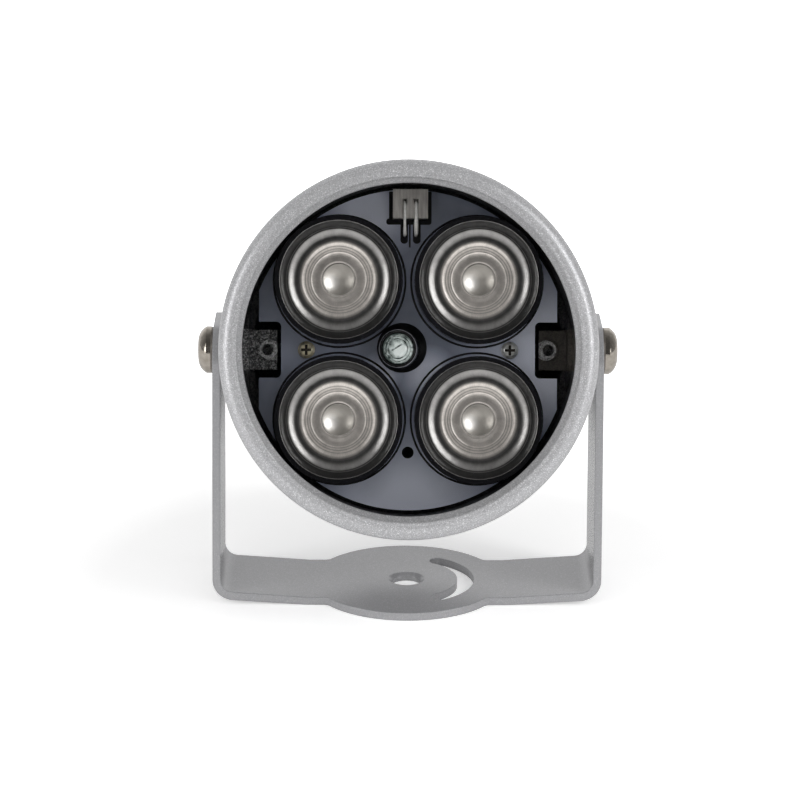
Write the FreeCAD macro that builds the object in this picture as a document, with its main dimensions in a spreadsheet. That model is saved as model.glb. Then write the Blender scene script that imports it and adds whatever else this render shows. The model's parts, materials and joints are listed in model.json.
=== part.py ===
import FreeCAD, Part
import os
import re
import Sketcher

# Infrared illuminator: a round cast lamp with four lenses, held in a U bracket.
# Row frame: +Z up, the lamp faces -Y, the origin is the middle of the base hole
# on the bracket's underside. The lamp's own frame has its origin on the pivot
# axis, x to the right as seen from the front, y up and z forward.

# Driving dimensions in millimetres and degrees
SIZES = {
    # bracket
    "sheet_thickness": 1.8,
    "bracket_width": 24.0,
    "arm_clearance": 0.25,
    "arm_lean": 0.65,
    "arm_end": 7.1,
    "arm_corner": 7.4,
    "bend_radius": 3.0,
    "swing_gap": 4.83,
    "base_bow": 1.35,
    "bow_start": 0.8,
    "disc_radius": 21.5,
    "disc_blend": 2.0,
    "mount_hole_radius": 3.3,
    "mount_hole_edge": 0.8,
    "slot_radius": 13.5,
    "slot_width": 3.8,
    "slot_sweep": 114.0,
    # pivot and its bolts
    "rest_tilt": 17.0,
    "pivot_gap": 0.15,
    "pad_radius": 10.0,
    "bolt_radius": 3.0,
    "bolt_clearance": 0.2,
    "thread_fit": 0.05,
    "bolt_length": 10.0,
    "bolt_head_radius": 5.25,
    "bolt_head_height": 3.5,
    "bolt_head_dome": 1.9,
    "bolt_head_flat": 2.4,
    "bolt_head_curve": 3.5,
    "bolt_head_under": 0.7,
    "bolt_point": 0.5,
    "hex_width": 4.0,
    "hex_depth": 2.0,
    # lens, holder and board
    "lens_radius": 12.95,
    "lens_flange": 2.1,
    "lens_sink": 0.3,
    "lens_cone_top": 11.0,
    "lens_cone_foot": 5.0,
    "lens_foot_gap": 2.3,
    "lens_pocket_radius": 3.6,
    "lens_air": 3.5,
    "lens_well_radius": 8.2,
    "lens_well_depth": 2.2,
    "lens_dome_radius": 3.6,
    "lens_dome_rise": 1.5,
    "lens_fit": 0.05,
    "holder_wall": 0.9,
    "holder_ledge": 1.5,
    "holder_gap": 2.6,
    "holder_height": 15.3,
    "emitter_radius": 4.0,
    "emitter_base": 1.2,
    "emitter_dome_radius": 2.7,
    "emitter_dome_rise": 2.2,
    "board_edge": 0.1,
    "board_thickness": 1.6,
    "board_front": 5.5,
    "board_gap": 0.9,
    "board_flat": 2.5,
    "board_hole_radius": 1.3,
    "board_hole_inset": 12.8,
    "notch_gap": 0.9,
    "notch_side": 1.8,
    "notch_corner": 1.1,
    # bezel, window and seal
    "lip_gap": 0.35,
    "lip_thickness": 2.6,
    "lip_bevel": 1.35,
    "bezel_face": 5.15,
    "bezel_round": 3.0,
    "bezel_depth": 14.3,
    "window_gap": 1.6,
    "window_thickness": 3.0,
    "window_land": 1.75,
    "window_fit": 0.1,
    "seal_thickness": 0.8,
    "seal_inset": 0.3,
    "seal_land": 1.0,
    # barrel
    "bezel_step": 1.0,
    "spigot_wall": 2.2,
    "shoulder_gap": 0.2,
    "rear_bore_step": 2.0,
    "ledge_drop": 1.9,
    "floor_depth": 25.0,
    "rear_wall": 4.0,
    "rear_edge": 2.0,
    "ring_count": 4,
    "ring_first": 12.5,
    "ring_pitch": 3.6,
    "ring_width": 1.8,
    "ring_depth": 3.0,
    "boss_reach": 7.4,
    "boss_half_height": 4.4,
    "boss_front_gap": 1.1,
    "boss_hole_inset": 2.1,
    "boss_hole_radius": 1.25,
    "boss_hole_depth": 8.0,
    "boss_ring_radius": 2.2,
    "boss_ring_height": 0.8,
    "post_radius": 3.0,
    "post_inset": 13.0,
    # board screws
    "screw_radius": 1.0,
    "screw_fit": 0.1,
    "screw_length": 6.0,
    "screw_head_radius": 1.9,
    "screw_head_height": 1.4,
    "screw_head_bevel": 0.6,
    "screw_slot": 0.5,
    "screw_slot_reach": 1.05,
    "screw_slot_depth": 0.7,
    # light sensor and its sleeve
    "sensor_radius": 3.4,
    "sensor_height": 7.4,
    "sensor_bevel": 0.8,
    "sensor_fit": 0.1,
    "sensor_lean": 7.0,
    "sensor_across": -1.5,
    "sensor_up": 0.3,
    "sleeve_wall": 0.75,
    "sleeve_height": 6.6,
    # power header
    "header_width": 7.7,
    "header_length": 6.4,
    "header_height": 5.8,
    "header_across": 0.4,
    "header_inset": 6.6,
    "socket_width": 1.1,
    "socket_up": 3.75,
    "socket_depth": 2.0,
    "pin_pitch": 2.5,
    "pin_width": 0.64,
    "pin_hole_radius": 0.5,
    "pin_reach": 4.0,
    "pin_lift": 0.1,
    "pin_hook": 1.5,
    "pin_tail": 1.0,
    # driver parts on the board's back
    "chip_length": 6.0,
    "chip_width": 5.0,
    "chip_height": 1.7,
    "chip_up": 9.0,
    "coil_width": 8.0,
    "coil_height": 4.0,
    "coil_across": 10.0,
    "coil_up": -9.0,
    "can_radius": 3.2,
    "can_height": 7.5,
    "can_across": -10.0,
    "can_up": -9.0,
    "sense_length": 3.2,
    "sense_width": 1.6,
    "sense_height": 0.6,
    "sense_across": 8.5,
    "sense_up": 9.0,
    # cable gland
    "cable_radius": 2.5,
    "gland_bore_radius": 3.2,
    "gland_thread_radius": 6.2,
    "gland_thread_end": 1.0,
    "gland_fit": 0.1,
    "gland_flange": 15.0,
    "gland_flange_height": 4.0,
    "gland_neck_radius": 5.6,
    "gland_neck_height": 6.5,
    "gland_seat_radius": 4.4,
    "gland_seat_depth": 5.0,
    "gland_cap_radius": 7.2,
    "gland_cap_height": 8.6,
    "gland_cap_bevel": 2.4,
    "gland_cap_gap": 0.4,
    "locknut_width": 17.0,
    "locknut_height": 3.0,
}

# Sizes that follow from the driving ones, from the lens outwards
HOLDER_RADIUS = "(lens_radius + lens_fit + holder_wall)"
LED_OFFSET = f"({HOLDER_RADIUS} + holder_gap / 2)"
BOARD_RADIUS = f"(sqrt(2) * {LED_OFFSET} + {HOLDER_RADIUS} + board_edge)"
BORE_RADIUS = f"({BOARD_RADIUS} + board_gap)"
REAR_BORE_RADIUS = f"({BORE_RADIUS} - rear_bore_step)"
LIP_RADIUS = f"({BOARD_RADIUS} + lip_gap)"
BEZEL_RADIUS = f"({LIP_RADIUS} + bezel_face)"
BARREL_RADIUS = f"({BEZEL_RADIUS} - bezel_step)"
SPIGOT_RADIUS = f"({BORE_RADIUS} + spigot_wall)"
WINDOW_RADIUS = f"({LIP_RADIUS} + window_land)"
ARM_INSIDE = f"({BEZEL_RADIUS} + arm_clearance)"
ARM_OUTSIDE = f"({ARM_INSIDE} + sheet_thickness)"
PAD_FACE = f"({ARM_INSIDE} - pivot_gap)"
HEAD_SEAT = f"({ARM_OUTSIDE} + pivot_gap)"
BOSS_FACE = f"({BORE_RADIUS} - boss_reach)"
BOSS_HOLE = f"({BOSS_FACE} + boss_hole_inset)"
POST_OFFSET = f"({BOARD_RADIUS} - post_inset)"
HEADER_FOOT = f"({BOARD_RADIUS} - header_inset)"
PIN_FOOT = f"({HEADER_FOOT} - pin_reach)"
BASE_INSIDE = f"({ARM_INSIDE} + arm_lean)"
BASE_OUTSIDE = f"({ARM_OUTSIDE} + arm_lean)"

# Depths in the lamp's frame, from the board forwards
BOARD_BACK = "(board_front - board_thickness)"
HOLDER_TOP = "(board_front + holder_height)"
LENS_TOP = f"({HOLDER_TOP} - lens_sink)"
WINDOW_BACK = f"({HOLDER_TOP} + window_gap)"
WINDOW_FRONT = f"({WINDOW_BACK} + window_thickness)"
FRONT_PLANE = f"({WINDOW_FRONT} + lip_thickness)"
SPIGOT_FRONT = f"({WINDOW_BACK} - seal_thickness)"
BEZEL_BACK = f"({FRONT_PLANE} - bezel_depth)"
SHOULDER = f"({BEZEL_BACK} - shoulder_gap)"
LEDGE = f"({BOARD_BACK} - ledge_drop)"
BOSS_FRONT = "(board_front - boss_front_gap)"
REAR_PLANE = "(0 - floor_depth - rear_wall)"
SWING_RADIUS = f"sqrt({BEZEL_RADIUS}^2 + {FRONT_PLANE}^2)"
PIVOT_HEIGHT = f"(sheet_thickness + {SWING_RADIUS} + swing_gap)"

LAMP = f"placement(vector(0; 0; {PIVOT_HEIGHT}); rotation(vector(1; 0; 0); 90 - rest_tilt))"
NO_TURN = "rotation(vector(0; 0; 1); 0)"

doc = FreeCAD.newDocument("infrared_illuminator")
pieces = []


def bound(text):
    """The expression with each size's name made a cell of the sheet."""
    names = re.compile(r"[a-z][a-z_]*")
    return names.sub(lambda m: "sizes." + m.group() if m.group() in SIZES else m.group(), str(text))


def make_sheet():
    """The spreadsheet that holds the driving dimensions."""
    sheet = doc.addObject("Spreadsheet::Sheet", "sizes")
    for row, (alias, size) in enumerate(SIZES.items(), 1):
        sheet.set(f"A{row}", alias)
        sheet.set(f"B{row}", str(size))
        sheet.setAlias(f"B{row}", alias)
    doc.recompute()
    return sheet


sizes = make_sheet()


def value(text):
    """The number that an expression has with the present sizes."""
    result = sizes.evalExpression(bound(text))
    return float(getattr(result, "Value", result))


def new_body(label):
    body = doc.addObject("PartDesign::Body", label)
    body.Label = label
    pieces.append(body)
    return body


def place(piece, at="", turn=""):
    """Sets a piece's placement in the row frame by an expression."""
    piece.setExpression("Placement", bound(at + (" * " + turn if turn else "")))


def place_in_lamp(piece, across="0", up="0", forward="0", turn=NO_TURN):
    """Puts a piece at a point of the lamp's own frame."""
    place(piece, LAMP, f"placement(vector({across}; {up}; {forward}); {turn})")


def new_sketch(body, plane, height="0"):
    """A sketch on one of the body's own origin planes, moved along its normal."""
    sketch = body.newObject("Sketcher::SketchObject", "outline")
    origin = [f for f in body.Origin.OriginFeatures if f.Role == plane]
    sketch.AttachmentSupport = [(origin[0], "")]
    sketch.MapMode = "FlatFace"
    sketch.setExpression("AttachmentOffset.Base.z", bound(height))
    return sketch


def pin_point(sketch, geometry, vertex, across, up):
    """Fixes one vertex of a sketch at two expressions."""
    for kind, text in (("DistanceX", across), ("DistanceY", up)):
        number = sketch.addConstraint(
            Sketcher.Constraint(kind, -1, 1, geometry, vertex, value(text))
        )
        sketch.setExpression(f"Constraints[{number}]", bound(text))


def arc_between(start, end, radius, side):
    """The short arc from start to end whose centre lies to the given side."""
    chord = end - start
    half = chord.Length / 2
    left = FreeCAD.Vector(-chord.y, chord.x, 0).normalize() * side
    centre = start + chord / 2 + left * max(radius**2 - half**2, 0) ** 0.5
    return Part.Arc(start, centre - left * radius, end)


def add_outline(sketch, points):
    """A closed outline of lines and arcs.

    Each point is (across, up), or (across, up, radius, side) where an arc leads
    to it from the point before, with its centre to the left for a side of 1.
    """
    corners = [FreeCAD.Vector(value(p[0]), value(p[1]), 0) for p in points]
    first = sketch.GeometryCount
    ends = []
    for number, point in enumerate(points):
        start = corners[number - 1]
        end = corners[number]
        if len(point) == 2:
            geometry = sketch.addGeometry(Part.LineSegment(start, end), False)
            ends.append((1, 2))
            continue
        arc = arc_between(start, end, value(point[2]), point[3])
        geometry = sketch.addGeometry(arc, False)
        forwards = point[3] > 0
        ends.append((1, 2) if forwards else (2, 1))
        radius = sketch.addConstraint(
            Sketcher.Constraint("Radius", geometry, value(point[2]))
        )
        sketch.setExpression(f"Constraints[{radius}]", bound(point[2]))
    for number, point in enumerate(points):
        after = (number + 1) % len(points)
        sketch.addConstraint(
            Sketcher.Constraint(
                "Coincident", first + number, ends[number][1], first + after, ends[after][0]
            )
        )
        pin_point(sketch, first + number, ends[number][1], point[0], point[1])


def add_rectangle(sketch, left, bottom, right, top):
    add_outline(sketch, [(left, bottom), (right, bottom), (right, top), (left, top)])


def add_circle(sketch, across, up, radius):
    centre = FreeCAD.Vector(value(across), value(up), 0)
    circle = Part.Circle(centre, FreeCAD.Vector(0, 0, 1), value(radius))
    geometry = sketch.addGeometry(circle, False)
    pin_point(sketch, geometry, 3, across, up)
    number = sketch.addConstraint(Sketcher.Constraint("Radius", geometry, value(radius)))
    sketch.setExpression(f"Constraints[{number}]", bound(radius))


def add_hexagon(sketch, width):
    """A hexagon about the sketch's origin, flat sides up and down."""
    half = f"({width}) / 2"
    corner = f"({width}) / sqrt(3)"
    add_outline(
        sketch,
        [
            (corner, "0"),
            (f"{corner} / 2", half),
            (f"0 - {corner} / 2", half),
            (f"0 - {corner}", "0"),
            (f"0 - {corner} / 2", f"0 - {half}"),
            (f"{corner} / 2", f"0 - {half}"),
        ],
    )


def finish(feature):
    doc.recompute()
    return feature


def pad(body, sketch, length, both_ways=False):
    feature = body.newObject("PartDesign::Pad", "pad")
    feature.Profile = sketch
    feature.setExpression("Length", bound(length))
    feature.Midplane = both_ways
    return finish(feature)


def pocket(body, sketch, depth, against_normal=True, both_ways=False):
    """Cuts a sketch's outline, by default against the sketch's normal."""
    before = body.Tip.Shape.Volume
    feature = body.newObject("PartDesign::Pocket", "pocket")
    feature.Profile = sketch
    feature.setExpression("Length", bound(depth))
    feature.Midplane = both_ways
    feature.Reversed = not against_normal
    finish(feature)
    if feature.Shape.Volume >= before:
        raise ValueError(f"a pocket of {body.Label} cuts nothing")
    return feature


def revolve(body, points):
    """A turned solid about the body's z axis, from (radius, height) points."""
    sketch = new_sketch(body, "XZ_Plane")
    add_outline(sketch, points)
    feature = body.newObject("PartDesign::Revolution", "turned")
    feature.Profile = sketch
    feature.ReferenceAxis = (sketch, ["V_Axis"])
    feature.Angle = 360
    return finish(feature)


def groove(body, points, angle="360", height="0"):
    """Cuts a turned shape about the body's z axis."""
    before = body.Tip.Shape.Volume
    sketch = new_sketch(body, "XZ_Plane", height)
    add_outline(sketch, points)
    feature = body.newObject("PartDesign::Groove", "turned_cut")
    feature.Profile = sketch
    feature.ReferenceAxis = (sketch, ["V_Axis"])
    feature.Midplane = True
    feature.setExpression("Angle", bound(angle))
    finish(feature)
    if feature.Shape.Volume >= before:
        raise ValueError(f"a groove of {body.Label} cuts nothing")
    return feature


def edges_where(body, test):
    """The names of the edges of the body's last feature that pass a test."""
    edges = enumerate(body.Tip.Shape.Edges, 1)
    names = [f"Edge{number}" for number, edge in edges if test(edge)]
    if not names:
        raise ValueError(f"no edge found on {body.Label}")
    return names


def dress(body, kind, test, size):
    """A fillet or chamfer on every edge that passes the test."""
    names = edges_where(body, test)
    base = body.Tip
    feature = body.newObject(f"PartDesign::{kind}", kind.lower())
    feature.Base = (base, names)
    feature.setExpression("Radius" if kind == "Fillet" else "Size", bound(size))
    return finish(feature)


def near(number, text, within=0.01):
    return abs(number - value(text)) < within


def is_circle(edge, radius, height):
    """Whether an edge is a full circle about z of that radius and height."""
    curve = edge.Curve
    return (
        isinstance(curve, Part.Circle)
        and near(curve.Radius, radius)
        and near(curve.Center.z, height)
    )


def mirror(body, features):
    """Repeats features on the other side of the body's YZ plane."""
    plane = [f for f in body.Origin.OriginFeatures if f.Role == "YZ_Plane"][0]
    feature = body.newObject("PartDesign::Mirrored", "other_side")
    feature.Originals = features
    feature.MirrorPlane = (plane, [""])
    body.Tip = feature
    return finish(feature)


# Bracket


def make_bracket():
    """One sheet folded up at both ends, with a round disc in its base.

    The bolts draw the arms in a little, so they lean inwards up to the pivot,
    and the base is bowed: it rests on its disc and rises towards both bends.
    """
    body = new_body("bracket")
    flat = "(disc_radius + bow_start)"
    rise = "sheet_thickness + base_bow"
    top = f"{PIVOT_HEIGHT} + arm_end"
    pinch = f"arm_lean * arm_end / {PIVOT_HEIGHT}"
    side = new_sketch(body, "XZ_Plane")
    add_outline(
        side,
        [
            (f"0 - {BASE_OUTSIDE}", "base_bow"),
            (f"0 - {flat}", "0"),
            (flat, "0"),
            (BASE_OUTSIDE, "base_bow"),
            (f"{ARM_OUTSIDE} - {pinch}", top),
            (f"{ARM_INSIDE} - {pinch}", top),
            (BASE_INSIDE, rise),
            (flat, "sheet_thickness"),
            (f"0 - {flat}", "sheet_thickness"),
            (f"0 - {BASE_INSIDE}", rise),
            (f"{pinch} - {ARM_INSIDE}", top),
            (f"{pinch} - {ARM_OUTSIDE}", top),
        ],
    )
    pad(body, side, "bracket_width", both_ways=True)
    plan = new_sketch(body, "XY_Plane")
    add_circle(plan, "0", "0", "disc_radius")
    pad(body, plan, "sheet_thickness")

    def is_bend(edge, across, height):
        box = edge.BoundBox
        return (
            near(abs(box.Center.x), across)
            and near(box.Center.z, height)
            and near(box.YLength, "bracket_width")
        )

    dress(body, "Fillet", lambda e: is_bend(e, BASE_INSIDE, rise), "bend_radius")
    dress(
        body,
        "Fillet",
        lambda e: is_bend(e, BASE_OUTSIDE, "base_bow"),
        "bend_radius + sheet_thickness",
    )

    def is_arm_corner(edge):
        box = edge.BoundBox
        return near(box.Center.z, top) and near(box.XLength, "sheet_thickness")

    dress(body, "Fillet", is_arm_corner, "arm_corner")

    def is_disc_corner(edge):
        box = edge.BoundBox
        return (
            near(box.ZLength, "sheet_thickness")
            and near(abs(box.Center.y), "bracket_width / 2")
            and abs(box.Center.x) < value("disc_radius")
        )

    dress(body, "Fillet", is_disc_corner, "disc_blend")
    cut_base(body)
    holes = new_sketch(body, "YZ_Plane")
    add_circle(holes, "0", PIVOT_HEIGHT, "bolt_radius + bolt_clearance")
    pocket(body, holes, f"{BASE_OUTSIDE} * 2", both_ways=True)


def cut_base(body):
    """The mounting hole, and the arc slot beside it that a second screw runs in."""
    hole = new_sketch(body, "XY_Plane", "sheet_thickness")
    add_circle(hole, "0", "0", "mount_hole_radius")
    pocket(body, hole, "sheet_thickness")
    dress(
        body,
        "Chamfer",
        lambda e: is_circle(e, "mount_hole_radius", "sheet_thickness"),
        "mount_hole_edge",
    )
    inner = "slot_radius - slot_width / 2"
    outer = "slot_radius + slot_width / 2"
    groove(
        body,
        [
            (inner, "0 - sheet_thickness"),
            (outer, "0 - sheet_thickness"),
            (outer, "sheet_thickness * 2"),
            (inner, "sheet_thickness * 2"),
        ],
        "slot_sweep",
    )
    ends = new_sketch(body, "XY_Plane", "sheet_thickness")
    for sign in ("", "0 - "):
        add_circle(
            ends,
            "slot_radius * cos(slot_sweep / 2)",
            f"{sign}slot_radius * sin(slot_sweep / 2)",
            "slot_width / 2",
        )
    pocket(body, ends, "sheet_thickness")


# Barrel, bezel, window and seal


def make_barrel():
    """The cast cup: its bore, floor, cooling rings, pivot pads, bosses and posts."""
    body = new_body("barrel")
    revolve(
        body,
        [
            ("gland_thread_radius + gland_fit", REAR_PLANE),
            (f"{BARREL_RADIUS} - rear_edge", REAR_PLANE),
            (BARREL_RADIUS, f"{REAR_PLANE} + rear_edge"),
            (BARREL_RADIUS, SHOULDER),
            (SPIGOT_RADIUS, SHOULDER),
            (SPIGOT_RADIUS, SPIGOT_FRONT),
            (BORE_RADIUS, SPIGOT_FRONT),
            (BORE_RADIUS, LEDGE),
            (REAR_BORE_RADIUS, LEDGE),
            (REAR_BORE_RADIUS, "0 - floor_depth"),
            ("gland_thread_radius + gland_fit", "0 - floor_depth"),
        ],
    )
    cut_cooling_rings(body)
    add_pivot_pads(body)
    add_side_bosses(body)
    add_board_posts(body)
    cut_pivot_threads(body)
    place_in_lamp(body)


def cut_cooling_rings(body):
    """Ring grooves behind the pivot pads, repeated along the axis."""
    front = "0 - ring_first + ring_width / 2"
    ring = groove(
        body,
        [
            (f"{BARREL_RADIUS} - ring_depth", f"{front} - ring_width"),
            (f"{BARREL_RADIUS} + ring_width", f"{front} - ring_width"),
            (f"{BARREL_RADIUS} + ring_width", front),
            (f"{BARREL_RADIUS} - ring_depth", front),
        ],
    )
    axis = [f for f in body.Origin.OriginFeatures if f.Role == "Z_Axis"][0]
    pattern = body.newObject("PartDesign::LinearPattern", "cooling_rings")
    pattern.Originals = [ring]
    pattern.Direction = (axis, [""])
    pattern.Reversed = True
    pattern.setExpression("Length", bound("ring_pitch * (ring_count - 1)"))
    pattern.setExpression("Occurrences", bound("ring_count"))
    body.Tip = pattern
    finish(pattern)


def add_pivot_pads(body):
    """A round pad on each side that meets the bracket's arm."""
    start = f"{BARREL_RADIUS} - ring_depth"
    sketch = new_sketch(body, "YZ_Plane", start)
    add_circle(sketch, "0", "0", "pad_radius")
    mirror(body, [pad(body, sketch, f"{PAD_FACE} - {start}")])


def add_side_bosses(body):
    """A block on each side, from the floor up into the board's notch."""
    sketch = new_sketch(body, "XY_Plane", "0 - floor_depth")
    wall = f"{BORE_RADIUS} + spigot_wall / 2"
    add_rectangle(sketch, BOSS_FACE, "0 - boss_half_height", wall, "boss_half_height")
    block = pad(body, sketch, f"{BOSS_FRONT} + floor_depth")
    mirror(body, [block])
    rings = new_sketch(body, "XY_Plane", BOSS_FRONT)
    add_circle(rings, BOSS_HOLE, "0", "boss_ring_radius")
    add_circle(rings, f"0 - {BOSS_HOLE}", "0", "boss_ring_radius")
    pad(body, rings, "boss_ring_height")
    holes = new_sketch(body, "XY_Plane", f"{BOSS_FRONT} + boss_ring_height")
    add_circle(holes, BOSS_HOLE, "0", "boss_hole_radius")
    add_circle(holes, f"0 - {BOSS_HOLE}", "0", "boss_hole_radius")
    pocket(body, holes, "boss_hole_depth")


def add_board_posts(body):
    """Two posts from the floor that carry the board and take its screws."""
    sketch = new_sketch(body, "XY_Plane", "0 - floor_depth")
    add_circle(sketch, POST_OFFSET, "0", "post_radius")
    add_circle(sketch, f"0 - {POST_OFFSET}", "0", "post_radius")
    pad(body, sketch, f"{BOARD_BACK} + floor_depth")
    holes = new_sketch(body, "XY_Plane", BOARD_BACK)
    add_circle(holes, POST_OFFSET, "0", "screw_radius + thread_fit")
    add_circle(holes, f"0 - {POST_OFFSET}", "0", "screw_radius + thread_fit")
    pocket(body, holes, "screw_length")


def cut_pivot_threads(body):
    """The threaded hole for each pivot bolt, from the pad into the boss."""
    bottom = f"{HEAD_SEAT} - bolt_length - bolt_clearance"
    sketch = new_sketch(body, "YZ_Plane", PAD_FACE)
    add_circle(sketch, "0", "0", "bolt_radius + thread_fit")
    mirror(body, [pocket(body, sketch, f"{PAD_FACE} - ({bottom})")])


def make_bezel_ring():
    """The silver ring that screws on the barrel and holds the window."""
    body = new_body("bezel_ring")
    thread = f"{SPIGOT_RADIUS} + thread_fit"
    pocket_radius = f"{WINDOW_RADIUS} + window_fit"
    pocket_back = f"{SPIGOT_FRONT} + shoulder_gap"
    revolve(
        body,
        [
            (thread, BEZEL_BACK),
            (BEZEL_RADIUS, BEZEL_BACK),
            (BEZEL_RADIUS, f"{FRONT_PLANE} - bezel_round"),
            (f"{BEZEL_RADIUS} - bezel_round", FRONT_PLANE, "bezel_round", 1),
            (f"{LIP_RADIUS} + lip_bevel", FRONT_PLANE),
            (LIP_RADIUS, f"{FRONT_PLANE} - lip_bevel"),
            (LIP_RADIUS, WINDOW_FRONT),
            (pocket_radius, WINDOW_FRONT),
            (pocket_radius, pocket_back),
            (thread, pocket_back),
        ],
    )
    place_in_lamp(body)


def make_window():
    """The flat glass, and the flat seal between it and the barrel."""
    glass = new_body("window_glass")
    disc = new_sketch(glass, "XY_Plane", WINDOW_BACK)
    add_circle(disc, "0", "0", WINDOW_RADIUS)
    pad(glass, disc, "window_thickness")
    place_in_lamp(glass)
    seal = new_body("window_seal")
    ring = new_sketch(seal, "XY_Plane", SPIGOT_FRONT)
    add_circle(ring, "0", "0", f"{BORE_RADIUS} + seal_inset + seal_land")
    add_circle(ring, "0", "0", f"{BORE_RADIUS} + seal_inset")
    pad(seal, ring, "seal_thickness")
    place_in_lamp(seal)


# Board and what it carries


def make_board():
    """The round board, with flats, a notch for each boss and its holes."""
    body = new_body("led_board")
    disc = new_sketch(body, "XY_Plane", BOARD_BACK)
    add_circle(disc, "0", "0", BOARD_RADIUS)
    pad(body, disc, "board_thickness")
    cuts = new_sketch(body, "XY_Plane", "board_front")
    flat = f"{BOARD_RADIUS} - board_flat"
    edge = f"{BOARD_RADIUS} + board_gap"
    notch = f"{BOSS_FACE} - notch_gap"
    half = "boss_half_height + notch_side"
    add_outline(
        cuts,
        [
            (flat, f"0 - {BOARD_RADIUS}"),
            (edge, f"0 - {BOARD_RADIUS}"),
            (edge, BOARD_RADIUS),
            (flat, BOARD_RADIUS),
            (flat, half),
            (notch, half),
            (notch, f"0 - ({half})"),
            (flat, f"0 - ({half})"),
        ],
    )
    mirror(body, [pocket(body, cuts, "board_thickness")])

    def is_notch_corner(edge):
        box = edge.BoundBox
        return near(box.ZLength, "board_thickness") and near(abs(box.Center.x), notch)

    dress(body, "Fillet", is_notch_corner, "notch_corner")
    holes = new_sketch(body, "XY_Plane", "board_front")
    add_circle(holes, POST_OFFSET, "0", "screw_radius + screw_fit")
    add_circle(holes, f"0 - {POST_OFFSET}", "0", "screw_radius + screw_fit")
    add_circle(holes, "0", f"board_hole_inset - {BOARD_RADIUS}", "board_hole_radius")
    pocket(body, holes, "board_thickness")
    place_in_lamp(body)


def make_emitter(name, across, up):
    """A round package with a clear dome on it."""
    body = new_body(f"led_emitter_{name}")
    bulge = "((emitter_dome_radius^2 + emitter_dome_rise^2) / (2 * emitter_dome_rise))"
    revolve(
        body,
        [
            ("0", "0"),
            ("emitter_radius", "0"),
            ("emitter_radius", "emitter_base"),
            ("emitter_dome_radius", "emitter_base"),
            ("0", "emitter_base + emitter_dome_rise", bulge, 1),
        ],
    )
    place_in_lamp(body, across, up, "board_front")


def make_holder(name, across, up):
    """A black tube on the board, with a ledge that the lens flange sits on."""
    body = new_body(f"lens_holder_{name}")
    inside = "lens_radius + lens_fit"
    revolve(
        body,
        [
            (f"{inside} - holder_ledge", "0"),
            (HOLDER_RADIUS, "0"),
            (HOLDER_RADIUS, "holder_height"),
            (inside, "holder_height"),
            (inside, "holder_height - lens_sink - lens_flange"),
            (f"{inside} - holder_ledge", "holder_height - lens_sink - lens_flange"),
        ],
    )
    place_in_lamp(body, across, up, "board_front")


def make_lens(name, across, up):
    """A clear collimator: flange, cone, pocket for the emitter, domed well."""
    body = new_body(f"lens_{name}")
    under = "(0 - lens_flange)"
    board = "(lens_sink - holder_height)"
    foot = f"({board} + lens_foot_gap)"
    roof = f"({board} + emitter_base + emitter_dome_rise + lens_air)"
    floor = "(0 - lens_well_depth)"
    bulge = "((lens_dome_radius^2 + lens_dome_rise^2) / (2 * lens_dome_rise))"
    revolve(
        body,
        [
            ("0", roof),
            ("lens_pocket_radius", roof),
            ("lens_pocket_radius", foot),
            ("lens_cone_foot", foot),
            ("lens_cone_top", under),
            ("lens_radius", under),
            ("lens_radius", "0"),
            ("lens_well_radius", "0"),
            ("lens_well_radius", floor),
            ("lens_dome_radius", floor),
            ("0", f"{floor} + lens_dome_rise", bulge, 1),
        ],
    )
    place_in_lamp(body, across, up, LENS_TOP)


def make_optics():
    """The four emitters, holders and lenses, in a square on the board."""
    corners = {
        "top_left": (f"0 - {LED_OFFSET}", LED_OFFSET),
        "top_right": (LED_OFFSET, LED_OFFSET),
        "bottom_left": (f"0 - {LED_OFFSET}", f"0 - {LED_OFFSET}"),
        "bottom_right": (LED_OFFSET, f"0 - {LED_OFFSET}"),
    }
    for name, (across, up) in corners.items():
        make_emitter(name, across, up)
        make_holder(name, across, up)
        make_lens(name, across, up)


def make_sensor():
    """The clear light sensor in its black sleeve, leaning a little to the left."""
    lean = "rotation(vector(0; 1; 0); 0 - sensor_lean)"
    sleeve_radius = "(sensor_radius + sensor_fit + sleeve_wall)"
    lift = f"board_front + {sleeve_radius} * sin(sensor_lean)"
    sleeve = new_body("sensor_sleeve")
    ring = new_sketch(sleeve, "XY_Plane")
    add_circle(ring, "0", "0", sleeve_radius)
    add_circle(ring, "0", "0", "sensor_radius + sensor_fit")
    pad(sleeve, ring, "sleeve_height")
    place_in_lamp(sleeve, "sensor_across", "sensor_up", lift, lean)
    sensor = new_body("light_sensor")
    disc = new_sketch(sensor, "XY_Plane")
    add_circle(disc, "0", "0", "sensor_radius")
    pad(sensor, disc, "sensor_height")
    dress(
        sensor,
        "Chamfer",
        lambda e: is_circle(e, "sensor_radius", "sensor_height"),
        "sensor_bevel",
    )
    place_in_lamp(sensor, "sensor_across", "sensor_up", lift, lean)


def make_header():
    """The two-way power header, with a square socket for each pin in its face."""
    body = new_body("power_header")
    plan = new_sketch(body, "XY_Plane")
    add_rectangle(plan, "0 - header_width / 2", "0", "header_width / 2", "header_length")
    pad(body, plan, "header_height")
    sockets = new_sketch(body, "XY_Plane", "header_height")
    half = "socket_width / 2"
    for sign in ("0 - ", ""):
        middle = f"({sign}pin_pitch / 2)"
        add_rectangle(
            sockets,
            f"{middle} - {half}",
            f"socket_up - {half}",
            f"{middle} + {half}",
            f"socket_up + {half}",
        )
    pocket(body, sockets, "socket_depth")
    place_in_lamp(body, "header_across", HEADER_FOOT, "board_front")


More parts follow.
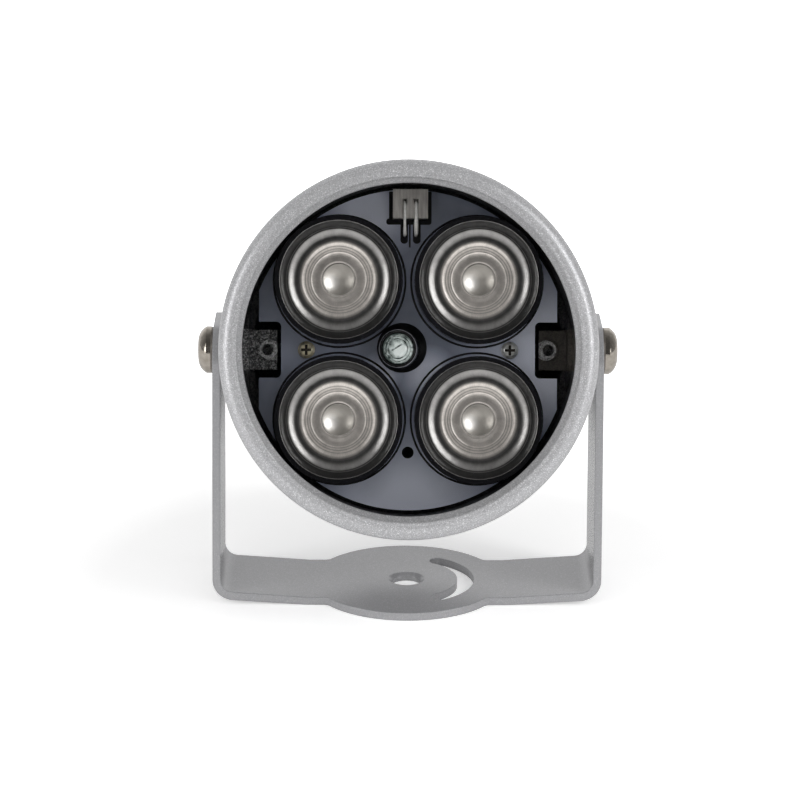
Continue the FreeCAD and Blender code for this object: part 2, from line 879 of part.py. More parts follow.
def make_pin(name, sign):
    """A square pin from its socket, over the header's face and down to the board."""
    body = new_body(f"header_pin_{name}")
    side = new_sketch(body, "YZ_Plane")
    face = "header_height + pin_lift"
    foot = "0 - pin_reach"
    tail = "0 - board_thickness - pin_tail"
    hook = "header_height - pin_hook"
    add_outline(
        side,
        [
            (foot, tail),
            (f"{foot} + pin_width", tail),
            (f"{foot} + pin_width", face),
            ("socket_up - pin_width / 2", face),
            ("socket_up - pin_width / 2", hook),
            ("socket_up + pin_width / 2", hook),
            ("socket_up + pin_width / 2", f"{face} + pin_width"),
            (foot, f"{face} + pin_width"),
        ],
    )
    pad(body, side, "pin_width", both_ways=True)
    place_in_lamp(body, f"header_across + {sign} * pin_pitch / 2", HEADER_FOOT, "board_front")


def cut_pin_holes():
    """The two holes in the board that the header's pins go through."""
    body = [piece for piece in pieces if piece.Label == "led_board"][0]
    holes = new_sketch(body, "XY_Plane", "board_front")
    for sign in ("-1", "1"):
        across = f"header_across + {sign} * pin_pitch / 2"
        add_circle(holes, across, f"{PIN_FOOT} + pin_width / 2", "pin_hole_radius")
    pocket(body, holes, "board_thickness")


def make_board_screw(name, sign):
    """A pan-head screw with a cross recess."""
    body = new_body(f"board_screw_{name}")
    revolve(
        body,
        [
            ("0", "0 - screw_length"),
            ("screw_radius", "0 - screw_length"),
            ("screw_radius", "0"),
            ("screw_head_radius", "0"),
            ("screw_head_radius", "screw_head_height - screw_head_bevel"),
            ("screw_head_radius - screw_head_bevel", "screw_head_height"),
            ("0", "screw_head_height"),
        ],
    )
    cross = new_sketch(body, "XY_Plane", "screw_head_height")
    arm = "screw_slot_reach"
    thin = "screw_slot / 2"
    add_outline(
        cross,
        [
            (arm, f"0 - {thin}"),
            (arm, thin),
            (thin, thin),
            (thin, arm),
            (f"0 - {thin}", arm),
            (f"0 - {thin}", thin),
            (f"0 - {arm}", thin),
            (f"0 - {arm}", f"0 - {thin}"),
            (f"0 - {thin}", f"0 - {thin}"),
            (f"0 - {thin}", f"0 - {arm}"),
            (thin, f"0 - {arm}"),
            (thin, f"0 - {thin}"),
        ],
    )
    pocket(body, cross, "screw_slot_depth")
    place_in_lamp(body, f"{sign} * {POST_OFFSET}", "0", "board_front")


def make_block(label, length, width, height, across, up):
    """A plain rectangular part on the board's back."""
    body = new_body(label)
    plan = new_sketch(body, "XY_Plane")
    left = f"0 - {length} / 2"
    bottom = f"0 - {width} / 2"
    add_rectangle(plan, left, bottom, f"{length} / 2", f"{width} / 2")
    pad(body, plan, height)
    place_in_lamp(body, across, up, f"{BOARD_BACK} - {height}")


def make_driver_parts():
    """The parts on the board's back that feed the emitters with a steady current."""
    make_block("driver_chip", "chip_length", "chip_width", "chip_height", "0", "chip_up")
    make_block(
        "driver_inductor", "coil_width", "coil_width", "coil_height", "coil_across", "coil_up"
    )
    make_block(
        "sense_resistor", "sense_length", "sense_width", "sense_height", "sense_across", "sense_up"
    )
    body = new_body("smoothing_capacitor")
    disc = new_sketch(body, "XY_Plane")
    add_circle(disc, "0", "0", "can_radius")
    pad(body, disc, "can_height")
    place_in_lamp(body, "can_across", "can_up", f"{BOARD_BACK} - can_height")


# Pivot bolts


def make_pivot_bolt(name, turn):
    """A button-head bolt with a hexagon socket, its head outside the arm.

    The head is rounded over at the top and a little under its rim.
    """
    body = new_body(f"pivot_bolt_{name}")
    edge = "bolt_head_height - bolt_head_dome"
    revolve(
        body,
        [
            ("0", "0 - bolt_length"),
            ("bolt_radius - bolt_point", "0 - bolt_length"),
            ("bolt_radius", "bolt_point - bolt_length"),
            ("bolt_radius", "0"),
            ("bolt_head_radius - bolt_head_under", "0"),
            ("bolt_head_radius", "bolt_head_under", "bolt_head_under", 1),
            ("bolt_head_radius", edge),
            ("bolt_head_flat", "bolt_head_height", "bolt_head_curve", 1),
            ("0", "bolt_head_height"),
        ],
    )
    socket = new_sketch(body, "XY_Plane", "bolt_head_height")
    add_hexagon(socket, "hex_width")
    pocket(body, socket, "hex_depth")
    sign = "1" if name == "right" else "-1"
    place(body, f"placement(vector({sign} * {HEAD_SEAT}; 0; {PIVOT_HEIGHT}); {turn})")


# Cable gland


def make_gland():
    """The gland in the rear wall: body, rubber seal, cap and locknut."""
    body = new_body("gland_body")
    back = f"({REAR_PLANE})"
    collar = new_sketch(body, "XY_Plane", "0 - gland_flange_height")
    add_hexagon(collar, "gland_flange")
    pad(body, collar, "gland_flange_height")
    stub = new_sketch(body, "XY_Plane")
    add_circle(stub, "0", "0", "gland_thread_radius")
    pad(body, stub, "rear_wall + locknut_height + gland_thread_end")
    neck = new_sketch(body, "XY_Plane", "0 - gland_flange_height - gland_neck_height")
    add_circle(neck, "0", "0", "gland_neck_radius")
    pad(body, neck, "gland_neck_height")
    bore = new_sketch(body, "XY_Plane", "0 - gland_flange_height - gland_neck_height")
    add_circle(bore, "0", "0", "gland_bore_radius")
    outside = "gland_neck_height + gland_flange_height"
    inside = "rear_wall + locknut_height + gland_thread_end"
    pocket(body, bore, f"{outside} + {inside}", against_normal=False)
    seat = new_sketch(body, "XY_Plane", "0 - gland_flange_height - gland_neck_height")
    add_circle(seat, "0", "0", "gland_seat_radius")
    pocket(body, seat, "gland_seat_depth", against_normal=False)
    place_in_lamp(body, forward=back)
    make_gland_seal(back)
    make_gland_cap(back)
    locknut = new_body("gland_locknut")
    nut = new_sketch(locknut, "XY_Plane")
    add_hexagon(nut, "locknut_width")
    add_circle(nut, "0", "0", "gland_thread_radius + thread_fit")
    pad(locknut, nut, "locknut_height")
    place_in_lamp(locknut, forward="0 - floor_depth")


def make_gland_seal(back):
    """The rubber sleeve that the cap presses on the cable."""
    body = new_body("gland_seal")
    rear = "0 - gland_flange_height - gland_neck_height"
    ring = new_sketch(body, "XY_Plane", f"{rear} - gland_cap_gap")
    add_circle(ring, "0", "0", "gland_seat_radius - thread_fit")
    add_circle(ring, "0", "0", "cable_radius")
    pad(body, ring, "gland_seat_depth + gland_cap_gap")
    place_in_lamp(body, forward=back)


def make_gland_cap(back):
    """The domed nut over the neck."""
    body = new_body("gland_cap")
    front = "0 - gland_flange_height - gland_cap_gap"
    rear = f"({front} - gland_cap_height)"
    inside = "(0 - gland_flange_height - gland_neck_height - gland_cap_gap)"
    inner = "gland_neck_radius + thread_fit"
    revolve(
        body,
        [
            ("gland_bore_radius", rear),
            ("gland_cap_radius - gland_cap_bevel", rear),
            ("gland_cap_radius", f"{rear} + gland_cap_bevel"),
            ("gland_cap_radius", front),
            (inner, front),
            (inner, inside),
            ("gland_bore_radius", inside),
        ],
    )
    place_in_lamp(body, forward=back)


def make_model():
    make_bracket()
    make_barrel()
    make_bezel_ring()
    make_window()
    make_board()
    make_optics()
    make_sensor()
    make_header()
    make_pin("left", "-1")
    make_pin("right", "1")
    cut_pin_holes()
    make_board_screw("left", "-1")
    make_board_screw("right", "1")
    make_driver_parts()
    make_pivot_bolt("left", "rotation(vector(0; 1; 0); -90)")
    make_pivot_bolt("right", "rotation(vector(0; 1; 0); 90)")
    make_gland()
    doc.recompute()


def check_model():
    """Stops before anything is written if a part of the model has failed."""
    for item in doc.Objects:
        if "Invalid" in item.State or "Error" in item.State:
            raise ValueError(f"{item.Label} of {item.InList} failed")
    for piece in pieces:
        if piece.Shape.isNull() or not piece.Shape.isValid():
            raise ValueError(f"{piece.Label} has no valid shape")
        if len(piece.Shape.Solids) != 1:
            raise ValueError(f"{piece.Label} is not one solid")


def write_pieces():
    os.makedirs("parts", exist_ok=True)
    for piece in pieces:
        piece.Shape.exportStep(os.path.join("parts", f"{piece.Label}.step"))
    print(f"{len(pieces)} pieces written, pivot at {value(PIVOT_HEIGHT):.3f} mm")


make_model()
check_model()
write_pieces()
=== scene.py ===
import json
import math
import bmesh
import bpy
from mathutils import Matrix, Vector


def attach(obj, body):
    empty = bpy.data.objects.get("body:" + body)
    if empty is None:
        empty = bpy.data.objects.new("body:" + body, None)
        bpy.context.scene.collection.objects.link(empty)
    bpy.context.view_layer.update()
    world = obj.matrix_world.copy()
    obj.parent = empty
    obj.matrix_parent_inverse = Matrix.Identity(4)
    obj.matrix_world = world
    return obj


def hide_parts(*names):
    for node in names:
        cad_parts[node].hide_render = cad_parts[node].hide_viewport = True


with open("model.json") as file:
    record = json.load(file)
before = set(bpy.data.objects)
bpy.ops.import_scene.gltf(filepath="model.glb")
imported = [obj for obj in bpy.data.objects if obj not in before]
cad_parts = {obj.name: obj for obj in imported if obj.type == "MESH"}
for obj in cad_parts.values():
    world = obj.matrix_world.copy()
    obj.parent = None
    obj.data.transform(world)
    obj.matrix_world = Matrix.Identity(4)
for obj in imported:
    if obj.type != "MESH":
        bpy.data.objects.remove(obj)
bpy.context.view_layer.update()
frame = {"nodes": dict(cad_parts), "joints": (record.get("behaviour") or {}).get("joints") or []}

MM = 0.001
CORNERS = ("top_left", "top_right", "bottom_left", "bottom_right")

# The lamp's own frame: origin on the pivot axis, x right, y up, z forward
REST_TILT = math.radians(17.0)
PIVOT = Vector(frame["joints"][0]["pos_m"])
LAMP = Matrix.Translation(PIVOT) @ Matrix.Rotation(math.pi / 2 - REST_TILT, 4, "X")


def node_in_lamp(name):
    """A CAD node's lowest and highest corners in the lamp's frame, in metres."""
    inverse = LAMP.inverted()
    points = [inverse @ v.co for v in frame["nodes"][name].data.vertices]
    low = Vector([min(p[i] for p in points) for i in range(3)])
    high = Vector([max(p[i] for p in points) for i in range(3)])
    return low, high


_, BOARD_HIGH = node_in_lamp("led_board")
BOARD_FRONT = BOARD_HIGH.z
_, BEZEL_HIGH = node_in_lamp("bezel_ring")
FRONT_PLANE = BEZEL_HIGH.z


# Shader helpers


def set_stops(color_ramp, stops):
    """Sets a ramp from (position, grey or colour) stops."""
    elements = color_ramp.elements
    while len(elements) < len(stops):
        elements.new(0.5)
    for element, (position, colour) in zip(elements, stops):
        element.position = position
        grey = isinstance(colour, (int, float))
        element.color = (colour, colour, colour, 1) if grey else (*colour, 1)


class Shader:
    """A node material, built one node at a time."""

    def __init__(self, name, colour=(0.5, 0.5, 0.5), metallic=0.0, roughness=0.5):
        self.material = bpy.data.materials.new(name)
        self.material.use_nodes = True
        self.tree = self.material.node_tree
        self.surface = self.tree.nodes["Principled BSDF"]
        self.surface.inputs["Base Color"].default_value = (*colour, 1.0)
        self.surface.inputs["Metallic"].default_value = metallic
        self.surface.inputs["Roughness"].default_value = roughness

    def add(self, kind, values=None, **settings):
        """A new node, with its plain inputs set and its linked inputs joined."""
        node = self.tree.nodes.new(kind)
        for setting, choice in settings.items():
            setattr(node, setting, choice)
        for socket, source in (values or {}).items():
            target = node.inputs[socket]
            if isinstance(source, bpy.types.NodeSocket):
                self.tree.links.new(source, target)
            else:
                target.default_value = source
        return node

    def place(self):
        """The object's own coordinates, in metres."""
        return self.add("ShaderNodeTexCoord").outputs["Object"]

    def lamp_place(self):
        """Coordinates in the lamp's frame, in metres."""
        mapping = self.add(
            "ShaderNodeMapping",
            {
                "Vector": self.place(),
                "Location": PIVOT,
                "Rotation": (math.pi / 2 - REST_TILT, 0, 0),
            },
            vector_type="TEXTURE",
        )
        return mapping.outputs["Vector"]

    def noise(self, size, detail=2.0, place=None, roughness=0.5):
        """Noise whose blotches are about that many metres across."""
        node = self.add(
            "ShaderNodeTexNoise",
            {
                "Vector": place or self.place(),
                "Scale": 1 / size,
                "Detail": detail,
                "Roughness": roughness,
            },
        )
        return node.outputs["Fac"]

    def cells(self, size):
        """Random brightness by cells of about that many metres."""
        node = self.add("ShaderNodeTexVoronoi", {"Vector": self.place(), "Scale": 1 / size})
        grey = self.add("ShaderNodeSeparateColor", {"Color": node.outputs["Color"]})
        return grey.outputs["Red"]

    def ramp(self, factor, stops):
        """A colour ramp from (position, grey or colour) stops."""
        node = self.add("ShaderNodeValToRGB", {"Fac": factor})
        set_stops(node.color_ramp, stops)
        return node.outputs["Color"]

    def math(self, operation, first, second=0.0):
        """A sum, product or comparison of two values."""
        node = self.add("ShaderNodeMath", {0: first, 1: second}, operation=operation)
        return node.outputs["Value"]

    def mix(self, factor, first, second):
        """A blend of two colours."""
        node = self.add("ShaderNodeMix", data_type="RGBA")
        for number, source in ((0, factor), (6, first), (7, second)):
            if isinstance(source, bpy.types.NodeSocket):
                self.tree.links.new(source, node.inputs[number])
            elif number == 0:
                node.inputs[number].default_value = source
            else:
                node.inputs[number].default_value = (*source, 1)
        return node.outputs[2]

    def blend(self, kind, first, second, clamp=False):
        """Two colours added or multiplied in full."""
        node = self.add("ShaderNodeMix", data_type="RGBA", blend_type=kind, clamp_result=clamp)
        node.inputs[0].default_value = 1.0
        self.tree.links.new(first, node.inputs[6])
        self.tree.links.new(second, node.inputs[7])
        return node.outputs[2]

    def use(self, socket, source):
        """Links a source to a socket of the surface."""
        self.tree.links.new(source, self.surface.inputs[socket])

    def used(self, socket):
        """What is linked to a socket of the surface so far."""
        return self.surface.inputs[socket].links[0].from_socket

    def soft_edges(self, radius):
        """Normals that look as if each edge had that radius."""
        return self.add("ShaderNodeBevel", {"Radius": radius}, samples=4).outputs["Normal"]

    def bump(self, height, distance, normal=None):
        """Bump of that depth in metres, on the plain or a given normal."""
        node = self.add("ShaderNodeBump", {"Height": height, "Distance": distance})
        if normal:
            self.tree.links.new(normal, node.inputs["Normal"])
        self.use("Normal", node.outputs["Normal"])

    def lamp_parts(self):
        """Across, up and forward in the lamp's frame."""
        parts = self.add("ShaderNodeSeparateXYZ", {"Vector": self.lamp_place()})
        return parts.outputs["X"], parts.outputs["Y"], parts.outputs["Z"]

    def length(self, first, second):
        """The length of a flat vector."""
        squares = self.math("ADD", self.math("POWER", first, 2.0), self.math("POWER", second, 2.0))
        return self.math("SQRT", squares)

    def near(self, across, up, centre, reach):
        """1 at a point, falling to 0 at that reach from it."""
        way = self.length(
            self.math("SUBTRACT", across, centre[0]), self.math("SUBTRACT", up, centre[1])
        )
        fall = self.math("SUBTRACT", 1.0, self.math("DIVIDE", way, reach))
        return self.math("MAXIMUM", fall, 0.0)


BLOTCH = 0.28 * MM
FLAKE = 0.15 * MM
BLUE_TINT = 1.03

CAST_PAINT = {
    "metal": 0.45,
    "grey": 0.41,
    "grain": 0.20,
    "sparkle": 0.42,
    "roughness": 0.36,
    "skin": 0.024 * MM,
    "edge": 0.35 * MM,
}
SHEET_PAINT = {
    "metal": 0.25,
    "grey": 0.34,
    "grain": 0.06,
    "sparkle": 0.12,
    "roughness": 0.25,
    "skin": 0.008 * MM,
    "edge": 0.4 * MM,
}


def silver_paint(name, metal, grey, grain, sparkle, roughness, skin, edge):
    """Silver paint: a fine grain, flakes that glint, a rough skin and soft edges."""
    shader = Shader(name, metallic=metal, roughness=roughness)
    blotch = shader.noise(BLOTCH, 3.0)
    flake = shader.cells(FLAKE)
    low, high = grey * (1 - grain), grey * (1 + grain)
    darker = (low, low, low * BLUE_TINT)
    lighter = (high, high, high * BLUE_TINT)
    body = shader.ramp(blotch, [(0.32, darker), (0.68, lighter)])
    glints = [(0.0, 0.0), (0.15, sparkle * 0.1), (0.84, sparkle * 0.25), (1.0, sparkle)]
    shader.use("Base Color", shader.blend("ADD", body, shader.ramp(flake, glints), clamp=True))
    rough_skin = shader.math("ADD", blotch, shader.math("MULTIPLY", flake, 0.4))
    shader.bump(rough_skin, skin, shader.soft_edges(edge))
    return shader


def make_materials():
    """Every finish, by name."""
    finishes = {}
    finishes["bezel_paint"] = bezel_finish()
    finishes["bracket_paint"] = silver_paint("bracket_paint", **SHEET_PAINT)
    finishes["barrel"] = barrel_finish()
    finishes["bolt"] = bolt_finish()
    finishes["board"] = board_finish()
    finishes["holder"] = holder_finish()
    finishes["print"] = print_finish()
    finishes["window"] = window_finish()
    finishes["rubber"] = rubber_finish()
    finishes["brass"] = screw_finish("brassy_screw", (0.97, 0.88, 0.62), 0.55, 0.25, True)
    finishes["nickel"] = screw_finish("nickel_screw", (0.98, 0.98, 0.94), 0.65, 0.25, True)
    finishes["pin"] = screw_finish("tinned_pin", (0.98, 0.97, 0.94), 0.85, 0.25)
    finishes["header"] = header_finish()
    finishes["nylon"] = nylon_finish()
    finishes["emitter"] = emitter_finish()
    finishes["chip"] = chip_finish()
    finishes["can"] = screw_finish("can", (0.62, 0.62, 0.63), 0.80, 0.90)
    return {name: shader.material for name, shader in finishes.items()}


RIDGE_RADIUS = 37.35 * MM
RIDGE_HALF = 0.5 * MM
RIDGE_HEIGHT = 0.09 * MM
FRONT_BAND = 0.8 * MM
LIP_RADIUS = 36.7 * MM
LIP_SHADE_FADE = 0.8 * MM


def bezel_finish():
    """Silver paint, with a low ridge where the inner lip begins, and painted shade that darkens the
    lip.
    """
    shader = silver_paint("bezel_paint", **CAST_PAINT)
    across, up, forward = shader.lamp_parts()
    radius = shader.length(across, up)
    offset = shader.math("ABSOLUTE", shader.math("SUBTRACT", radius, RIDGE_RADIUS))
    ridge = shader.math("SUBTRACT", 1.0, shader.math("DIVIDE", offset, RIDGE_HALF))
    ridge = shader.math("SQRT", shader.math("MAXIMUM", ridge, 0.0))
    front = shader.math("GREATER_THAN", forward, FRONT_PLANE - FRONT_BAND)
    shader.bump(shader.math("MULTIPLY", ridge, front), RIDGE_HEIGHT, shader.used("Normal"))
    # Painted shade: the base colour darkens towards the inner lip.
    lip_shade_reach = shader.math("DIVIDE", shader.math("SUBTRACT", radius, LIP_RADIUS), LIP_SHADE_FADE)
    tone = shader.ramp(lip_shade_reach, [(0.0, 0.78), (1.0, 1.0)])
    shader.use("Base Color", shader.blend("MULTIPLY", shader.used("Base Color"), tone))
    return shader


BORE_RADIUS = 36.9 * MM
REAR_SKIN = -28.5 * MM
BOSS_HALF = 4.6 * MM
BOSS_HOLE = 30.6 * MM
BOSS_RING = 2.25 * MM
CAST_ROUGHNESS = 0.75
PAINT_SMOOTHER_BY = 0.33


def barrel_finish():
    """Silver paint outside, and dark sand-cast metal inside the bore.

    The left side is speckled, the right side is smoother and browner and
    darker with painted shade, what lies above and below the bosses is
    painted nearly black as shade, and the ring round each boss hole is lighter.
    """
    shader = silver_paint("barrel_paint", **CAST_PAINT)
    across, up, forward = shader.lamp_parts()
    outside = shader.math("GREATER_THAN", shader.length(across, up), BORE_RADIUS)
    behind = shader.math("LESS_THAN", forward, REAR_SKIN)
    painted = shader.math("MAXIMUM", outside, behind)
    grain = shader.noise(0.45 * MM, 4.0, roughness=0.75)
    speckled = shader.ramp(grain, [(0.38, 0.015), (0.50, 0.08), (0.62, 0.42)])
    smooth = shader.ramp(grain, [(0.36, (0.035, 0.031, 0.026)), (0.64, (0.085, 0.076, 0.062))])
    # Painted shade: away from the bosses the bore's wall takes these nearly black tones.
    dark = shader.ramp(grain, [(0.40, 0.008), (0.64, 0.06)])
    on_boss = shader.math("LESS_THAN", shader.math("ABSOLUTE", up), BOSS_HALF)
    # Painted shade: the right side takes the smoother, browner and darker tones, while the left
    # keeps the bright speckles.
    cast = shader.mix(shader.math("GREATER_THAN", across, 0.0), speckled, smooth)
    cast = shader.mix(on_boss, dark, cast)
    from_hole = shader.math("SUBTRACT", shader.math("ABSOLUTE", across), BOSS_HOLE)
    ring = shader.math("LESS_THAN", shader.length(from_hole, up), BOSS_RING)
    ring_tones = shader.ramp(grain, [(0.38, 0.10), (0.60, 0.65)])
    cast = shader.mix(shader.math("MULTIPLY", ring, 0.75), cast, ring_tones)
    shader.use("Base Color", shader.mix(painted, cast, shader.used("Base Color")))
    shader.use("Metallic", shader.math("MULTIPLY", painted, CAST_PAINT["metal"]))
    smoother = shader.math("MULTIPLY", painted, PAINT_SMOOTHER_BY)
    shader.use("Roughness", shader.math("SUBTRACT", CAST_ROUGHNESS, smoother))
    height = shader.math("MULTIPLY", grain, shader.math("SUBTRACT", 1.25, painted))
    shader.bump(height, 0.10 * MM, shader.soft_edges(CAST_PAINT["edge"]))
    return shader


def bolt_finish():
    """Polished nickel, a little stained."""
    shader = Shader("polished_nickel", (0.42, 0.38, 0.33), 1.0, 0.14)
    stain = shader.noise(1.6 * MM, 3.0)
    tones = [(0.35, (0.33, 0.30, 0.26)), (0.7, (0.48, 0.44, 0.39))]
    shader.use("Base Color", shader.ramp(stain, tones))
    shader.use("Roughness", shader.ramp(stain, [(0.3, 0.10), (0.8, 0.22)]))
    shader.bump(shader.noise(0.5 * MM, 2.0), 0.01 * MM)
    return shader


BOARD_SCREW = 22.5 * MM
RECESS_HALF = 0.30 * MM
RECESS_REACH = 1.15 * MM
RECESS_SHADE = (0.06, 0.05, 0.04)
DOME_FALL = 0.24


def recessed_head(shader, plating, stain):
    """A board screw's head: domed, with a cross recess that lies in shade."""
    across, up, _ = shader.lamp_parts()
    side = shader.math("SUBTRACT", shader.math("ABSOLUTE", across), BOARD_SCREW)
    wide = shader.math("ABSOLUTE", side)
    high = shader.math("ABSOLUTE", up)
    in_bar = shader.math("LESS_THAN", shader.math("MINIMUM", wide, high), RECESS_HALF)
    in_reach = shader.math("LESS_THAN", shader.math("MAXIMUM", wide, high), RECESS_REACH)
    recess = shader.math("MULTIPLY", in_bar, in_reach)
    shader.use("Base Color", shader.mix(recess, plating, RECESS_SHADE))
    radius = shader.math("DIVIDE", shader.length(side, up), MM)
    dome = shader.math("MULTIPLY", shader.math("POWER", radius, 2.0), -DOME_FALL)
    shader.bump(shader.math("ADD", dome, shader.math("MULTIPLY", stain, 0.06)), 1.0 * MM)


def screw_finish(name, colour, worn, metal, recessed=False):
    """Small plated parts, worn darker in spots."""
    shader = Shader(name, colour, metal, 0.26)
    stain = shader.noise(0.9 * MM, 2.0)
    dark = tuple(worn * c for c in colour)
    plating = shader.ramp(stain, [(0.35, dark), (0.55, colour)])
    if recessed:
        recessed_head(shader, plating, stain)
    else:
        shader.use("Base Color", plating)
        shader.bump(stain, 0.06 * MM)
    return shader


# Each pool of painted light and reflection on the board: its centre across and up, and its reach,
# in millimetres
PAINTED_LIGHT_PATCHES = (
    ((33.0, 0.0), 24.0),
    ((0.0, -37.0), 25.0),
    ((-9.0, 31.0), 13.0),
    ((4.5, -5.5), 7.0),
    ((-6.0, -5.0), 5.0),
)


def board_finish():
    """Blue-grey lacquer, glossy, with painted light: paler patches where light and reflections
    fall, darker lacquer elsewhere, and a faint orange peel.
    """
    shader = Shader("solder_mask", (0.42, 0.46, 0.58), 0.0, 0.22)
    across, up, _ = shader.lamp_parts()
    pale = shader.math("MULTIPLY", shader.noise(9.0 * MM, 2.0), 0.3)
    for (x, y), reach in PAINTED_LIGHT_PATCHES:
        pale = shader.math("ADD", pale, shader.near(across, up, (x * MM, y * MM), reach * MM))
    # Painted light: on top of a slow random drift, low values give the painted shade and high ones
    # the painted light and reflection.
    tones = [(0.05, (0.20, 0.225, 0.30)), (0.35, (0.40, 0.44, 0.57)), (0.85, (0.82, 0.86, 1.0))]
    shader.use("Base Color", shader.ramp(pale, tones))
    shader.surface.inputs["Coat Weight"].default_value = 0.6
    shader.surface.inputs["Coat Roughness"].default_value = 0.06
    fine = shader.noise(0.5 * MM, 2.0)
    peel = shader.noise(6.0 * MM, 1.0)
    shader.bump(shader.math("ADD", peel, shader.math("MULTIPLY", fine, 0.06)), 0.025 * MM)
    return shader


def holder_finish():
    """Glossy black plastic."""
    shader = Shader("holder_black", (0.003, 0.003, 0.004), 0.0, 0.14)
    shader.surface.inputs["Specular IOR Level"].default_value = 0.35
    shader.use("Roughness", shader.ramp(shader.noise(1.2 * MM, 2.0), [(0.3, 0.10), (0.7, 0.18)]))
    shader.bump(shader.noise(0.4 * MM, 2.0), 0.01 * MM)
    return shader


def print_finish():
    """Black ink."""
    shader = Shader("black_print", (0.004, 0.004, 0.006), 0.0, 0.5)
    shader.use("Roughness", shader.ramp(shader.noise(0.6 * MM, 2.0), [(0.3, 0.4), (0.7, 0.6)]))
    return shader


def window_finish():
    """Clear coated glass: nothing is seen of it but a gleam at a flat angle."""
    shader = Shader("window_glass", (0.004, 0.006, 0.008), 0.0, 0.02)
    edge = shader.add("ShaderNodeLayerWeight", {"Blend": 0.5}).outputs["Facing"]
    gleam = shader.math("MULTIPLY", shader.math("POWER", edge, 4.0), 0.35)
    smear = shader.noise(30 * MM, 2.0)
    gleam = shader.math("MULTIPLY", gleam, shader.math("ADD", smear, 0.5))
    least_seen = 0.012
    shader.use("Alpha", shader.math("ADD", gleam, least_seen))
    return shader


def rubber_finish():
    """Black rubber."""
    shader = Shader("black_rubber", (0.010, 0.010, 0.011), 0.0, 0.42)
    shader.bump(shader.noise(0.5 * MM, 3.0), 0.02 * MM)
    return shader


def header_finish():
    """Beige nylon with upright streaks."""
    shader = Shader("header_nylon", (0.42, 0.39, 0.35), 0.0, 0.4)
    place = shader.add(
        "ShaderNodeMapping", {"Vector": shader.lamp_place(), "Scale": (1.0, 0.12, 1.0)}
    ).outputs["Vector"]
    tone = shader.noise(0.7 * MM, 3.0, place)
    tones = [(0.35, (0.30, 0.28, 0.26)), (0.65, (0.48, 0.46, 0.43))]
    shader.use("Base Color", shader.ramp(tone, tones))
    shader.bump(shader.noise(0.4 * MM, 2.0), 0.015 * MM)
    return shader


def nylon_finish():
    """Black nylon."""
    shader = Shader("black_nylon", (0.014, 0.014, 0.015), 0.0, 0.5)
    shader.bump(shader.noise(0.35 * MM, 3.0), 0.02 * MM)
    return shader


def emitter_finish():
    """The pale package of an emitter."""
    shader = Shader("emitter_package", (0.70, 0.66, 0.58), 0.2, 0.35)
    shader.bump(shader.noise(0.5 * MM, 2.0), 0.01 * MM)
    return shader


def chip_finish():
    """Black moulded package."""
    shader = Shader("moulded_chip", (0.016, 0.016, 0.017), 0.0, 0.6)
    shader.bump(shader.noise(0.25 * MM, 3.0), 0.02 * MM)
    return shader


FINISH = make_materials()

NODE_FINISH = {
    "bracket": "bracket_paint",
    "barrel": "barrel",
    "bezel_ring": "bezel_paint",
    "window_glass": "window",
    "window_seal": "rubber",
    "led_board": "board",
    "power_header": "header",
    "board_screw_left": "brass",
    "board_screw_right": "nickel",
    "driver_chip": "chip",
    "driver_inductor": "chip",
    "sense_resistor": "chip",
    "smoothing_capacitor": "can",
    "pivot_bolt_left": "bolt",
    "pivot_bolt_right": "bolt",
    "gland_body": "nylon",
    "gland_cap": "nylon",
    "gland_locknut": "nylon",
    "gland_seal": "rubber",
}
for corner in CORNERS:
    NODE_FINISH[f"led_emitter_{corner}"] = "emitter"
    NODE_FINISH[f"lens_holder_{corner}"] = "holder"


def dress_nodes():
    """Gives each CAD node that shows its finish."""
    for name, finish in NODE_FINISH.items():
        node = frame["nodes"][name]
        for slot in node.material_slots:
            slot.material = FINISH[finish]


dress_nodes()


# Mesh helpers


def add_object(name, form, materials, body="lamp"):
    """An object from a finished form, which is freed, riding on a body."""
    mesh = bpy.data.meshes.new(name)
    form.to_mesh(mesh)
    form.free()
    for material in materials:
        mesh.materials.append(material)
    piece = bpy.data.objects.new(name, mesh)
    bpy.context.scene.collection.objects.link(piece)
    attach(piece, body)
    return piece


UV_REACH = 10 * MM


def turned(name, profile, materials, seat, segments=96):
    """A turned piece in the lamp's frame, on its seat.

    The profile's points are (radius, height, zone) in millimetres, where the
    zone numbers the material of the band that leads to the next point. The
    coordinates named polar hold the turn from 0 to 1 and the radius.
    """
    form = bmesh.new()
    polar = form.loops.layers.uv.new("polar")
    rings = []
    for radius, height, _ in profile:
        if radius == 0.0:
            rings.append([form.verts.new((0, 0, height * MM))])
            continue
        ring = []
        for step in range(segments):
            angle = 2 * math.pi * step / segments
            across, up = radius * math.cos(angle), radius * math.sin(angle)
            ring.append(form.verts.new((across * MM, up * MM, height * MM)))
        rings.append(ring)
    for number in range(len(rings) - 1):
        inner, outer = rings[number], rings[number + 1]
        for step in range(segments):
            after = (step + 1) % segments
            if len(inner) == 1:
                turns = {inner[0]: step + 1, outer[step]: step, outer[after]: step + 1}
            elif len(outer) == 1:
                turns = {inner[step]: step, outer[0]: step + 1, inner[after]: step + 1}
            else:
                turns = {
                    inner[step]: step,
                    outer[step]: step,
                    outer[after]: step + 1,
                    inner[after]: step + 1,
                }
            face = form.faces.new(list(turns))
            face.material_index = profile[number][2]
            face.smooth = True
            for loop in face.loops:
                turn = turns[loop.vert] / segments
                loop[polar].uv = (turn, loop.vert.co.xy.length / UV_REACH)
    bmesh.ops.recalc_face_normals(form, faces=form.faces)
    form.transform(LAMP @ seat)
    return add_object(name, form, materials)


# Lenses


LENS_REACH = 13.0
WARM_RADIUS = 8.5
